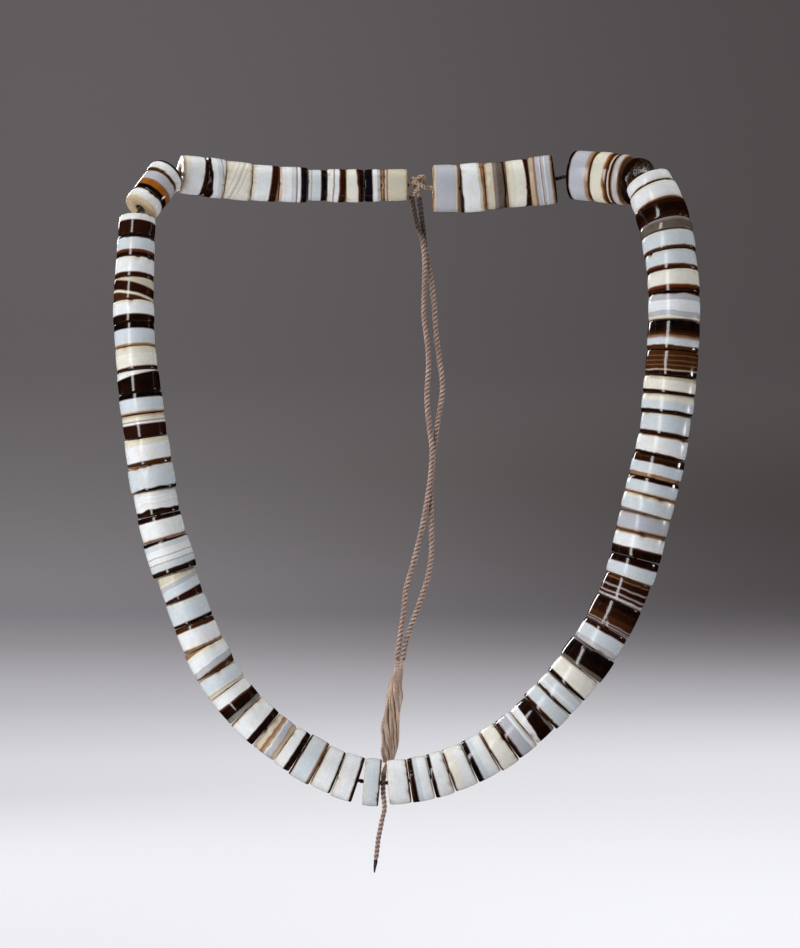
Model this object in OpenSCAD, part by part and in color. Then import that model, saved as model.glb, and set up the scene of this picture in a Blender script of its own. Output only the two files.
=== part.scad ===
// Agate bead necklace: 85 drilled disc beads of banded agate, graduated from about
// 10 mm beside the knot to 16 mm on the far side, strung in one closed loop.
// The thread is knotted at the nape. Its two twisted ends hang inside the loop, join in
// a loosened stretch, pass over the thread between the two lowest beads and end in a
// hard waxed point.
//
// Frame: millimetres, +Z up. The origin is the middle of the string at the nape, where
// the loop hangs on a neck. The loop runs from there to the left (-X), down and towards
// the front (-Y), and back up on the right (+X).

/* [Beads] */
// Smallest clearance between the rims of two neighbouring beads
bead_space = 0.15; // [0.12:0.01:0.2]
// Width of the worn chamfer on each rim
rim_wear = 0.35; // [0.2:0.05:0.5]
// Share of each bend of the string that the slanted ends of the beads take up
end_slant = 0.85; // [0:0.05:1]
// Diameter of the drilled hole
hole_d = 2.6; // [2.3:0.1:3.2]
// Space between the two lowest beads, which the tail cord passes through
low_space = 2.4; // [2.3:0.1:2.6]

/* [Cords] */
// Diameter of the thread inside the beads
thread_d = 1.4; // [1:0.1:1.6]
// Diameter of the two tail cords and of their joined end
tail_d = 1.5; // [1.2:0.1:1.6]
// Size of the knot, as the radius of its core
knot_r = 2.2; // [1.8:0.1:2.3]
// Width of the loosened stretch in its widest place
fray_w = 5.2; // [4:0.1:5.6]
// Thickness of the loosened stretch from front to back
fray_t = 3.2; // [2.4:0.1:3.6]
// Length of the hard waxed point
tip_len = 4; // [3:0.5:6]

/* [Hidden] */
// Columns of the bead tables: length along the string, outer diameter, and the least
// space left before the bead, counted from the knot
LEN = 0;
DIA = 1;
SPACE = 2;

// Left run of beads, from the knot down to the lowest point
left_beads = [
    // ten small beads along the back of the neck
    [8.0, 10.0, 0],
    [5.0, 10.2, 0],
    [5.4, 10.4, 0],
    [5.6, 10.4, 0],
    [5.8, 9.7, 0],
    [8.6, 11.1, 0],
    [8.1, 11.3, 0],
    [8.0, 11.9, 0],
    [5.4, 12.4, 0],
    [7.5, 12.0, 0],
    // three beads that turn the shoulder
    [3.9, 11.6, 6.4],
    [7.2, 11.2, 0],
    [4.0, 11.2, 0],
    // the left side
    [6.5, 11.3, 0],
    [6.7, 11.6, 0],
    [6.2, 11.9, 0],
    [6.5, 12.2, 0],
    [6.3, 12.6, 0],
    [6.8, 12.3, 0],
    [6.7, 12.4, 0],
    [6.0, 12.9, 0],
    [6.0, 13.3, 0],
    [6.8, 13.0, 0],
    [8.0, 13.6, 0],
    [7.4, 14.0, 0],
    [7.0, 13.0, 0],
    [6.9, 13.4, 0],
    [10.1, 14.0, 0],
    [8.2, 12.0, 0],
    [7.1, 12.5, 0],
    // the lower left
    [7.4, 12.5, 0],
    [7.6, 13.2, 0],
    [5.3, 13.1, 0],
    [7.6, 12.7, 0],
    [7.4, 13.0, 0],
    [6.6, 12.8, 0],
    [4.8, 13.3, 0],
    [6.0, 14.2, 0],
    [5.5, 13.6, 0],
    [5.8, 14.2, 0],
    [4.9, 14.5, 0]
];

// Right run of beads, from the knot down to the lowest point
right_beads = [
    // five beads beside the knot, the first two set a little apart
    [7.9, 14.8, 0],
    [7.1, 15.3, 1],
    [6.6, 14.6, 0],
    [6.8, 14.7, 0],
    [7.4, 15.4, 0],
    // eight large beads that turn the shoulder, after a bare stretch of thread
    [7.6, 15.4, 6.1],
    [5.3, 15.8, 0],
    [3.9, 15.6, 0],
    [3.0, 14.8, 2.0],
    [3.8, 14.4, 7.4],
    [5.0, 15.4, 0],
    [5.4, 16.0, 0],
    [2.6, 16.2, 0],
    // the right side
    [5.0, 16.0, 0],
    [5.5, 15.4, 0],
    [5.8, 15.7, 0],
    [7.5, 15.7, 0],
    [8.4, 15.8, 0],
    [7.1, 15.8, 0],
    [5.1, 15.9, 0],
    [5.6, 15.9, 0],
    [6.0, 15.0, 0],
    [5.7, 15.5, 0],
    [6.6, 15.9, 0],
    [5.0, 15.8, 0],
    [5.4, 15.9, 0],
    [5.7, 15.6, 0],
    [7.0, 15.4, 0],
    [5.7, 15.2, 0],
    [6.8, 14.3, 0],
    [7.9, 14.7, 0],
    // the lower right
    [6.7, 14.4, 0],
    [6.6, 15.3, 0],
    [6.3, 14.5, 0],
    [4.9, 14.2, 0],
    [5.2, 14.5, 0],
    [6.1, 13.2, 0],
    [5.8, 13.6, 0],
    [5.1, 14.1, 0],
    [6.2, 13.6, 0],
    [6.1, 13.5, 0],
    [4.8, 13.7, 0],
    [5.6, 13.6, 0],
    [6.0, 13.6, 0]
];

// Closed line of the string: nape, left shoulder, left side, lowest point, right side,
// right shoulder and back
string_points = [
    [0, 0, 0], [-14, 0, -0.3], [-28, -0.7, -0.2], [-40, -1.5, 0.1],
    [-52.5, -3, 0.9], [-62, -4.9, 2], [-69.8, -7.2, 2.7], [-71.6, -8.6, 2.9],
    [-73, -10.9, 2.8], [-73.9, -12.9, 2.2], [-75.8, -14.9, -0.7],
    [-77.7, -16.8, -3.6], [-79.6, -18.7, -6.5], [-81.3, -20.4, -9],
    [-81.9, -21.2, -10.8], [-82.1, -21.9, -13], [-82.3, -23.3, -18.5],
    [-82.5, -25, -25.5], [-82.8, -27.7, -37],
    [-82.2, -30, -50], [-80.9, -31.5, -62], [-79.2, -32, -75], [-77.2, -32, -89],
    [-74.6, -32, -103], [-71.2, -32, -115], [-66.7, -32, -128], [-61, -32, -142],
    [-55, -32, -152.8], [-46.5, -32, -162.7], [-36.5, -32, -170.7],
    [-25.5, -32, -177.3], [-14.5, -32, -181.5], [-4, -32, -182],
    [8.5, -32, -179.8], [21, -32, -174.8], [32, -32, -167.7], [41.5, -32, -159],
    [50, -32, -149.7], [57.5, -32, -139], [64, -32, -126.5], [68, -32, -115],
    [70.5, -32, -104], [73.5, -32, -92], [76.5, -32, -79], [78.2, -31.6, -65],
    [79.3, -31.4, -53.5], [79.9, -30.5, -43], [79.8, -29.3, -32], [79.2, -28, -26],
    [78.5, -26.8, -20], [77.8, -25.5, -15.6], [77, -24.1, -11.9],
    [75.2, -22.1, -6.4], [73.7, -20.6, -2.8], [72.5, -19.3, -0.1],
    [72.3, -16, -0.2], [71.7, -13.2, -0.4], [71, -12.4, -0.3], [69.8, -11.4, 0],
    [68.6, -10.5, 0.3], [67.4, -9.8, 0.6], [66.2, -9.15, 0.8], [63, -7.4, 1.3],
    [57.6, -4.9, 2.2], [52, -2.5, 2.9], [44, -0.9, 1.5], [34.5, -0.3, 0.5],
    [20.5, 0, -0.8], [9, 0, -1.2]
];

// Lines of the tail cords, from the knot down
left_tail_points = [
    [1, 0, -3.7], [2.8, -1.3, -12.5], [4.5, -1.8, -17.5], [5.2, -2.6, -24],
    [5, -4, -34], [5, -5, -41.5], [6, -6, -49.5], [6.3, -6.8, -56], [5.8, -7.9, -66],
    [6.5, -9, -75], [7.4, -10, -82], [6.9, -11, -90], [5.6, -12.1, -99],
    [3.8, -13.2, -108], [1.4, -14.4, -117.5], [-0.6, -15.3, -124.5],
    [-1.5, -16.4, -132.5], [-2.8, -17.5, -141.5], [-3.4, -18.1, -145.7]
];
right_tail_points = [
    [3.4, 0.6, -3.7], [4.7, 0.5, -13.5], [6, -0.7, -23.5], [7.2, -1.6, -30],
    [8.1, -2.7, -38], [8.7, -3.8, -47], [9.8, -5, -55.5], [10.6, -5.8, -62.5],
    [9.8, -6.7, -69.5], [8.4, -7.7, -78], [7.4, -8.7, -87], [6.9, -9.9, -96],
    [7.1, -11.4, -105], [7.1, -12.4, -114], [5.9, -13.3, -121.5],
    [3.6, -14.4, -128.5], [1, -15.6, -135.5], [-0.9, -16.9, -141.5],
    [-1.6, -17.7, -145.8]
];
// Loosened stretch, with the share of its full width at each point
fray_points = [
    [-2.5, -18.1, -146.2], [-3.1, -18.5, -149], [-3.7, -18.9, -152],
    [-4.1, -19.4, -156], [-4.6, -20, -161], [-5.1, -20.6, -165],
    [-5.5, -21, -169], [-5.7, -21.5, -172.5], [-5.7, -21.9, -175]
];
fray_share = [0.62, 0.62, 0.74, 0.88, 0.92, 0.96, 1, 0.94, 0.5];
// Joined end of the cord: behind the lowest bead, over the thread and down
tail_end_points = [
    [-5.7, -22, -175.2], [-6, -22.3, -176.8], [-6.9, -23.4, -178.6],
    [-7.4, -26, -179.8], [-7.4, -29.5, -180.1], [-7.4, -32.4, -180.5],
    [-7.5, -34.8, -182.3], [-7.5, -35.8, -185], [-7.2, -36, -188], [-7.2, -36, -190],
    [-7.8, -36, -192.5], [-8.4, -36, -195.5], [-9, -36, -198.5], [-9.4, -36, -202],
    [-9.7, -36, -204.6]
];

// Where the two runs of beads and the two ends of the thread start, along the string
left_start = 0.2;
right_start = 7.6;
thread_left_start = -0.25;
thread_right_start = 6.3;
// Wider spaces than this get a ring of the thread at both bead ends and rings between
wide_space = 1.5;
wide_steps = 6;
// Ends that would lean less than this, as a tangent, stay square
least_slant = 0.01;
knot_at = [3.1, 0, 0.8];
cord_sides = 8;
fray_sides = 12;
curve_steps = 8;

function unit(v) = v / norm(v);
function last(v) = v[len(v) - 1];

// Smooth curve through hand-placed points
function between(a, b, ta, tb, u) =
    let (reach = norm(b - a), u2 = u * u, u3 = u2 * u)
    (2 * u3 - 3 * u2 + 1) * a + (u3 - 2 * u2 + u) * reach * ta
    + (3 * u2 - 2 * u3) * b + (u3 - u2) * reach * tb;
function loop_dir(p, i) =
    unit(p[(i + 1) % len(p)] - p[(i + len(p) - 1) % len(p)]);
function line_dir(p, i) =
    unit(p[min(i + 1, len(p) - 1)] - p[max(i - 1, 0)]);
function loop_curve(p, steps) = [
    for (i = [0 : len(p) - 1])
        for (k = [0 : steps - 1])
            between(p[i], p[(i + 1) % len(p)], loop_dir(p, i),
                loop_dir(p, (i + 1) % len(p)), k / steps),
    p[0]
];
function line_curve(p, steps) = [
    for (i = [0 : len(p) - 2])
        for (k = [0 : steps - 1])
            between(p[i], p[i + 1], line_dir(p, i), line_dir(p, i + 1), k / steps),
    last(p)
];
// Distance along a line at each of its points
function stations(p) = [
    for (i = 0, s = 0; i < len(p);
        s = s + (i + 1 < len(p) ? norm(p[i + 1] - p[i]) : 0), i = i + 1) s
];

string_curve = loop_curve(string_points, curve_steps);
string_at = stations(string_curve);
string_len = last(string_at);
string_xyz = [
    for (axis = [0 : 2])
        [for (i = [0 : len(string_curve) - 1]) [string_at[i], string_curve[i][axis]]]
];

// Point of the string at a distance from the nape, counted to the left
function at(s) =
    let (w = s - string_len * floor(s / string_len))
    [for (axis = [0 : 2]) lookup(w, string_xyz[axis])];
// Direction of a bead's hole: both of its ends lie on the line of the string
function hole_dir(s, length, way) =
    unit(at(s + way * length / 2) - at(s - way * length / 2));

// Space that a bead needs after the one before it, so that their rims just clear
function clear_space(end, before, length, r, way, guess, tries) =
    tries == 0 ? guess :
    let (dir = hole_dir(end + way * (guess + length / 2), length, way),
        turn = acos(min(1, dir * before)))
    clear_space(end, before, length, r, way,
        bead_space + 2.08 * r * sin(turn / 2), tries - 1);
function next_bead(rows, i, s, way) =
    let (end = s + way * rows[i][LEN] / 2,
        length = rows[i + 1][LEN],
        r = min(rows[i][DIA], rows[i + 1][DIA]) / 2 - rim_wear,
        before = hole_dir(s, rows[i][LEN], way),
        space = clear_space(end, before, length, r, way, bead_space, 3))
    end + way * (max(space, rows[i + 1][SPACE]) + length / 2);
function bead_places(rows, start, way) = [
    for (i = 0, s = start + way * rows[0][LEN] / 2; i < len(rows);
        s = i + 1 < len(rows) ? next_bead(rows, i, s, way) : s, i = i + 1) s
];

left_raw = bead_places(left_beads, left_start, 1);
right_raw = bead_places(right_beads, string_len - right_start, -1);
// What is left between the two lowest beads is shared out over both runs
left_end = last(left_raw) + last(left_beads)[LEN] / 2;
right_end = last(right_raw) - last(right_beads)[LEN] / 2;
spare = right_end - left_end - low_space;
left_places = [
    for (i = [0 : len(left_raw) - 1]) left_raw[i] + spare / 2 * i / (len(left_raw) - 1)
];
right_places = [
    for (i = [0 : len(right_raw) - 1])
        right_raw[i] - spare / 2 * i / (len(right_raw) - 1)
];

// One end of a bead, side -1 nearer the knot and 1 farther on: the point where the
// hole's axis leaves it, the direction that it faces, and whether it slants. A slanted
// end turns towards its neighbour's about the inner rim, and nearly closes the wedge.
function bead_end(rows, places, way, i, side) =
    let (length = rows[i][LEN],
        end = at(places[i] + way * side * length / 2),
        dir = side * hole_dir(places[i], length, way),
        k = i + side)
    k < 0 || k == len(rows) ? [end, dir, false] :
    let (space = abs(places[k] - places[i]) - (length + rows[k][LEN]) / 2,
        beside = side * hole_dir(places[k], rows[k][LEN], way),
        face = unit((2 - end_slant) * dir + end_slant * beside),
        lean = norm(cross(dir, face)) / (dir * face),
        r = min(rows[i][DIA], rows[k][DIA]) / 2 - rim_wear)
    space > wide_space || lean < least_slant ? [end, dir, false] :
    [end + r * lean * dir, face, true];

// Stations of the thread's rings from one bead to the next
function thread_steps(rows, places, way) = [
    for (i = [0 : len(rows) - 2])
        let (a = places[i] + way * rows[i][LEN] / 2,
            b = places[i + 1] - way * rows[i + 1][LEN] / 2)
        each (abs(b - a) > wide_space
            ? [for (k = [0 : wide_steps]) a + (b - a) * k / wide_steps]
            : [(a + b) / 2])
];
function reversed(v) = [for (i = [len(v) - 1 : -1 : 0]) v[i]];
low_left = last(left_places) + last(left_beads)[LEN] / 2;
low_right = last(right_places) - last(right_beads)[LEN] / 2;
thread_line = [
    for (s = concat(
        [thread_left_start],
        thread_steps(left_beads, left_places, 1),
        [low_left, low_right],
        reversed(thread_steps(right_beads, right_places, -1)),
        [string_len - right_start, string_len - thread_right_start]))
        at(s)
];

module place(centre, dir) {
    side = unit(cross([0, 1, 0], dir));
    up = cross(dir, side);
    multmatrix([
        [side[0], up[0], dir[0], centre[0]],
        [side[1], up[1], dir[1], centre[1]],
        [side[2], up[2], dir[2], centre[2]],
        [0, 0, 0, 1]
    ])
        children();
}

// What a slanted end cuts off
module beyond(end, r) {
    place(end[0], end[1])
        cylinder(h = 5, r = r + 2, $fn = 48);
}

// One drilled disc bead between its two ends
module bead(first, other, diameter) {
    r = diameter / 2;
    half = norm(other[0] - first[0]) / 2;
    low = -half - (first[2] ? 2 : 0);
    high = half + (other[2] ? 2 : 0);
    difference() {
        place((first[0] + other[0]) / 2, unit(other[0] - first[0]))
            rotate_extrude($fn = 48)
                polygon([
                    [hole_d / 2, low],
                    [r - rim_wear, low],
                    [r, low + rim_wear],
                    [r, high - rim_wear],
                    [r - rim_wear, high],
                    [hole_d / 2, high]
                ]);
        if (first[2]) beyond(first, r);
        if (other[2]) beyond(other, r);
    }
}

module bead_run(rows, places, way) {
    for (i = [0 : len(rows) - 1])
        bead(bead_end(rows, places, way, i, -1), bead_end(rows, places, way, i, 1),
            rows[i][DIA]);
}

// Tube swept along a line: wide and deep are its widths across, one number for each
// point; across is a direction that the line never follows
module swept(line, wide, deep, across, sides) {
    n = len(line);
    rings = [
        for (i = [0 : n - 1])
            let (dir = line_dir(line, i),
                u = unit(across - (across * dir) * dir),
                v = cross(dir, u))
            for (k = [0 : sides - 1])
                line[i] + wide[i] / 2 * cos(360 * k / sides) * u
                + deep[i] / 2 * sin(360 * k / sides) * v
    ];
    walls = [
        for (i = [0 : n - 2])
            for (k = [0 : sides - 1])
                let (a = i * sides + k, b = i * sides + (k + 1) % sides)
                each [[a, a + sides, b], [b, a + sides, b + sides]]
    ];
    polyhedron(
        points = rings,
        faces = concat(
            walls,
            [[for (k = [0 : sides - 1]) k]],
            [[for (k = [sides - 1 : -1 : 0]) (n - 1) * sides + k]]
        ),
        convexity = 8
    );
}

module cord(line, diameter, across) {
    same = [for (p = line) diameter];
    swept(line, same, same, across, cord_sides);
}

module beads_left() {
    color("Linen") bead_run(left_beads, left_places, 1);
}

module beads_right() {
    color("Linen") bead_run(right_beads, right_places, -1);
}

module thread() {
    color("Tan") cord(thread_line, thread_d, [0, 1, 0]);
}

module torus(major, minor) {
    rotate_extrude($fn = 48)
        translate([major, 0])
            circle(d = minor, $fn = 24);
}

// Straight stub of cord from a to b
module stub(a, b, diameter) {
    dir = unit(b - a);
    turn = acos(dir[2]);
    axis = cross([0, 0, 1], dir);
    translate(a)
        rotate(a = turn, v = axis)
            cylinder(h = norm(b - a), d = diameter, $fn = 24);
}

// Overhand knot: a core with two turns of cord around it and four cord ends
module knot() {
    color("Tan")
        union() {
            translate(knot_at) sphere(r = knot_r, $fn = 36);
            translate(knot_at)
                rotate([0, 62, 20])
                    torus(knot_r - 0.25, tail_d);
            translate(knot_at)
                rotate([70, 0, 35])
                    torus(knot_r - 0.3, tail_d);
            stub(knot_at, [0.6, 0, 0.05], thread_d);
            stub(knot_at, at(string_len - thread_right_start + 0.35), thread_d);
            stub(knot_at, left_tail_points[0] + [0.1, 0, 0.6], tail_d);
            stub(knot_at, right_tail_points[0] + [0, 0, 0.3], tail_d);
        }
}

module tail_left() {
    color("RosyBrown") cord(line_curve(left_tail_points, 2), tail_d, [1, 0, 0]);
}

module tail_right() {
    color("RosyBrown") cord(line_curve(right_tail_points, 2), tail_d, [1, 0, 0]);
}

module fray() {
    color("RosyBrown")
        swept(fray_points, fray_w * fray_share, fray_t * fray_share, [1, 0, 0],
            fray_sides);
}

module tail_end() {
    color("RosyBrown") cord(line_curve(tail_end_points, 1), tail_d, [1, 0, 0]);
}

// Hard waxed point, in line with the end of the cord
module wax_tip() {
    end = last(tail_end_points);
    dir = unit(end - tail_end_points[len(tail_end_points) - 2]);
    color("DimGray")
        place(end + 0.1 * dir, dir)
            cylinder(h = tip_len, d1 = tail_d * 0.8, d2 = 0.3, $fn = 24);
}

beads_left();
beads_right();
thread();
knot();
tail_left();
tail_right();
fray();
tail_end();
wax_tip();
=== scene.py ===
# %% [markdown]
# # A hanging necklace of banded agate discs
# Old agate discs are cut from a striped stone, drilled and strung by size. This lesson
# dresses the measured CAD model: the frame gives every bead its place, and Blender adds
# the layered stone, the chips on the rims, the twisted cord and the light.

# %% Load the frame
import math
import random

import bmesh
import bpy
from mathutils import Matrix, Vector, kdtree, noise


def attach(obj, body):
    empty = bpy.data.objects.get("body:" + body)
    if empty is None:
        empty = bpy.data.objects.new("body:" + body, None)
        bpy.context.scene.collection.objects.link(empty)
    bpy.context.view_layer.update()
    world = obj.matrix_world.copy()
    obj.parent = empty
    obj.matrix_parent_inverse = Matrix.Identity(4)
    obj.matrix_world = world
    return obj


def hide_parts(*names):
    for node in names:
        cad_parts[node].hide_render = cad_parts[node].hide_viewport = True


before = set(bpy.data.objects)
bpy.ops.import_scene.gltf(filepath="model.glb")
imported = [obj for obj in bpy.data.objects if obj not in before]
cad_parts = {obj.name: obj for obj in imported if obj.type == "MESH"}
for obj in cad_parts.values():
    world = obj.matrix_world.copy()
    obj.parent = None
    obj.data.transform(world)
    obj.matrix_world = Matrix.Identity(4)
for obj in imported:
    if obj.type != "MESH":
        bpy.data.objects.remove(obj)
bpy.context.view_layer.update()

MM = 0.001

# %% [markdown]
# ## Two small helpers
# A Blender object is only a holder with a place. What is seen is its data: a mesh, a
# curve, a lamp or a camera. One helper puts data into the scene, and the other turns a
# bmesh, the form in which a mesh is edited, into a smooth object.

# %% Put things into the scene
def in_scene(name, data):
    """Make an object that shows the data, and put it into the scene."""
    made = bpy.data.objects.new(name, data)
    bpy.context.scene.collection.objects.link(made)
    return made


def object_from(bm, name):
    """Turn a finished bmesh into a smooth object in the scene."""
    for face in bm.faces:
        face.smooth = True
    mesh = bpy.data.meshes.new(name)
    bm.to_mesh(mesh)
    bm.free()
    return in_scene(name, mesh)


# %% [markdown]
# ## The camera
# The necklace is seen level and from the front. A long lens one metre away keeps the
# sides of the loop nearly parallel. The size of a pixel at the lowest beads fixes the
# lens: sensor height times distance over the height of the picture in metres.

# %% Place the camera
photo_height_px = 948
pixel_mm = 0.30
sensor_mm = 36
camera_distance = 1.0
eye_x, eye_y, eye_z = -0.0025, -1.032, -0.0895

camera_data = bpy.data.cameras.new("front_camera")
camera_data.sensor_fit = "VERTICAL"
camera_data.sensor_height = sensor_mm
camera_data.lens = sensor_mm * camera_distance / (photo_height_px * pixel_mm * MM)
camera_data.clip_start, camera_data.clip_end = 0.05, 30
camera = in_scene("front_camera", camera_data)
camera.location = (eye_x, eye_y, eye_z)
camera.rotation_euler = (math.radians(90), 0, 0)
bpy.context.scene.camera = camera
print("lens in millimetres:", round(camera_data.lens, 1))

# %% [markdown]
# ## Lines that cords follow
# A cord starts as a line. A few given points are joined by a smooth Hermite curve, which
# is then cut into even steps, so that a twist wound round it has an even pitch.
# The points are the same as in the CAD source, in millimetres.

# %% Smooth and even lines
def hermite(a, way_a, b, way_b, u):
    """Point at share u from a to b on a curve that leaves and arrives along the ways."""
    reach = (b - a).length
    return ((2 * u**3 - 3 * u**2 + 1) * a + (u**3 - 2 * u**2 + u) * reach * way_a
            + (3 * u**2 - 2 * u**3) * b + (u**3 - u**2) * reach * way_b)


def smooth_line(points, steps):
    """Join points in millimetres by curves of so many steps each."""
    points = [Vector(p) * MM for p in points]
    last = len(points) - 1

    def heading(i):
        return (points[min(i + 1, last)] - points[max(i - 1, 0)]).normalized()

    line = [hermite(points[i], heading(i), points[i + 1], heading(i + 1), k / steps)
            for i in range(last) for k in range(steps)]
    return line + [points[-1]]


def line_length(line):
    return sum((b - a).length for a, b in zip(line, line[1:]))


def even_steps(line, step):
    """Cut a line anew into even steps, as near to the wanted step as fits."""
    count = max(2, round(line_length(line) / step))
    gap = line_length(line) / count
    out, left_over = [line[0].copy()], 0.0
    for a, b in zip(line, line[1:]):
        reach = (b - a).length
        way = gap - left_over
        while way <= reach:
            out.append(a.lerp(b, way / reach))
            way += gap
        left_over = reach - (way - gap)
    if len(out) <= count:
        out.append(line[-1].copy())
    return out


# %% [markdown]
# ## Laying plies
# A twisted cord is two strands that wind round a common line. Two directions across the
# line are carried along it without turning, and the angle in that plane grows evenly.
# A little noise in the distance from the line keeps the lay from looking machined.

# %% Twist strands round a line
def sideways(line):
    """A pair of directions across the line at each point, which never twists."""
    pairs = []
    across = Vector((0.31, 0.87, 0.38))
    for i in range(len(line)):
        ahead = (line[min(i + 1, len(line) - 1)] - line[max(i - 1, 0)]).normalized()
        across = (across - across.dot(ahead) * ahead).normalized()
        pairs.append((across.copy(), ahead.cross(across)))
    return pairs


def twisted(line, count, wind, pitch, start=0.0, wobble=0.0, seed=0):
    """Lines of the plies: wind is how far each stands off, pitch one full turn."""
    pairs = sideways(line)
    step = line_length(line) / (len(line) - 1)
    plies = []
    for ply in range(count):
        strand = []
        for i, (point, (u, v)) in enumerate(zip(line, pairs)):
            turn = start + 2 * math.pi * (ply / count + i * step / pitch)
            spot = Vector((i * step * 260, ply * 7.3, seed))
            off = wind * (1 + wobble * noise.noise(spot))
            strand.append(point + off * (math.cos(turn) * u + math.sin(turn) * v))
        plies.append(strand)
    return plies


# %% [markdown]
# ## Strands as tubes
# A Blender curve with a bevel is the quickest round strand. Turned into a mesh, it keeps
# its place in its own points and brings a UV map that runs along each strand, which the
# fibres of the material follow. A second attribute tells how deep a point lies in the
# twist, so that the grooves between the plies can be darkened as painted shade.

# %% Make tubes along strands
def tube_mesh(name, strands, radius, roundness, core, full):
    """Tubes along strands. The groove is 0 on the core line and 1 at full from it."""
    curve = bpy.data.curves.new(name, "CURVE")
    curve.dimensions = "3D"
    curve.bevel_depth = radius
    curve.bevel_resolution = roundness
    curve.use_fill_caps = True
    for strand in strands:
        spline = curve.splines.new("POLY")
        spline.points.add(len(strand) - 1)
        for point, place in zip(spline.points, strand):
            point.co = (*place, 1)
    holder = in_scene(name + "_curve", curve)
    mesh = bpy.data.meshes.new_from_object(holder)
    bpy.data.objects.remove(holder)
    mesh.name = name
    for face in mesh.polygons:
        face.use_smooth = True

    tree = kdtree.KDTree(len(core))
    for i, point in enumerate(core):
        tree.insert(point, i)
    tree.balance()
    groove = mesh.attributes.new("groove", "FLOAT", "POINT")
    for i, vertex in enumerate(mesh.vertices):
        depth = tree.find(vertex.co)[2] / full
        groove.data[i].value = max(0.0, min(1.0, depth))
    piece = in_scene(name, mesh)
    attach(piece, "root")
    return piece


# %% [markdown]
# ## The two tails
# The ends of the thread hang from the knot as two cords. Each is two plies laid together
# with a right-hand twist, so the plies lean like a stroke from lower left to upper right.
# The cords are 1.5 mm thick as solids. Their plies stand out a little further, because
# a soft twist swells where it hangs free.

# %% Lay the tail cords
ply_pitch = 2.7 * MM

left_tail_points = [
    (1, 0, -3.7), (2.8, -1.3, -12.5), (4.5, -1.8, -17.5), (5.2, -2.6, -24),
    (5, -4, -34), (5, -5, -41.5), (6, -6, -49.5), (6.3, -6.8, -56), (5.8, -7.9, -66),
    (6.5, -9, -75), (7.4, -10, -82), (6.9, -11, -90), (5.6, -12.1, -99),
    (3.8, -13.2, -108), (1.4, -14.4, -117.5), (-0.6, -15.3, -124.5),
    (-1.5, -16.4, -132.5), (-2.8, -17.5, -141.5), (-3.4, -18.1, -145.7),
]
right_tail_points = [
    (3.4, 0.6, -3.7), (4.7, 0.5, -13.5), (6, -0.7, -23.5), (7.2, -1.6, -30),
    (8.1, -2.7, -38), (8.7, -3.8, -47), (9.8, -5, -55.5), (10.6, -5.8, -62.5),
    (9.8, -6.7, -69.5), (8.4, -7.7, -78), (7.4, -8.7, -87), (6.9, -9.9, -96),
    (7.1, -11.4, -105), (7.1, -12.4, -114), (5.9, -13.3, -121.5),
    (3.6, -14.4, -128.5), (1, -15.6, -135.5), (-0.9, -16.9, -141.5),
    (-1.6, -17.7, -145.8),
]
tail_end_points = [
    (-5.7, -22, -175.2), (-6, -22.3, -176.8), (-6.9, -23.4, -178.6),
    (-7.4, -26, -179.8), (-7.4, -29.5, -180.1), (-7.4, -32.4, -180.5),
    (-7.5, -34.8, -182.3), (-7.5, -35.8, -185), (-7.2, -36, -188), (-7.2, -36, -190),
    (-7.8, -36, -192.5), (-8.4, -36, -195.5), (-9, -36, -198.5), (-9.4, -36, -202),
    (-9.7, -36, -204.6),
]


def plied_cord(name, points, node, start, ply_r):
    """Two plies of radius ply_r, wound so close that they press into each other."""
    line = even_steps(smooth_line(points, 8), ply_pitch / 12)
    plies = twisted(line, 2, 0.9 * ply_r, ply_pitch, start, wobble=0.12, seed=start)
    piece = tube_mesh(name, plies, ply_r, 2, line, 1.9 * ply_r)
    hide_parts(node)
    print(name, "length in mm:", round(line_length(line) / MM, 1))
    return piece, line


tail_left, tail_left_line = plied_cord(
    "tail_cord_left", left_tail_points, "tail_left", 0.3, 0.47 * MM)
tail_right, tail_right_line = plied_cord(
    "tail_cord_right", right_tail_points, "tail_right", 1.9, 0.47 * MM)
tail_end, tail_end_line = plied_cord(
    "tail_cord_end", tail_end_points, "tail_end", 0.9, 0.42 * MM)

# %% [markdown]
# ## The loosened stretch
# Where the two tails join, the twist has opened and the plies stand loose in a flat
# bundle. Each of the 24 yarns keeps its place in the bundle, near the outside or the
# middle, drifts a little and winds half a turn round it on the way down, and they all
# gather again behind the lowest discs. Thin twisted pairs look more like real yarn than
# plain tubes.

# %% Spread the loose yarns
fray_points = [
    (-2.5, -18.1, -146.2), (-3.1, -18.5, -149), (-3.7, -18.9, -152),
    (-4.1, -19.4, -156), (-4.6, -20, -161), (-5.1, -20.6, -165),
    (-5.5, -21, -169), (-5.7, -21.5, -172.5), (-5.8, -22, -175), (-6, -22.3, -176.8),
]
fray_share = [0.36, 0.52, 0.68, 0.84, 0.96, 1.0, 1.04, 1.02, 0.92, 0.6]
fray_w, fray_t = 6.0 * MM, 3.2 * MM
edge_room = 0.45 * MM
yarn_count = 24
yarn_r = 0.24 * MM
wind_round = 3.4
most_sway = 0.26

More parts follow.
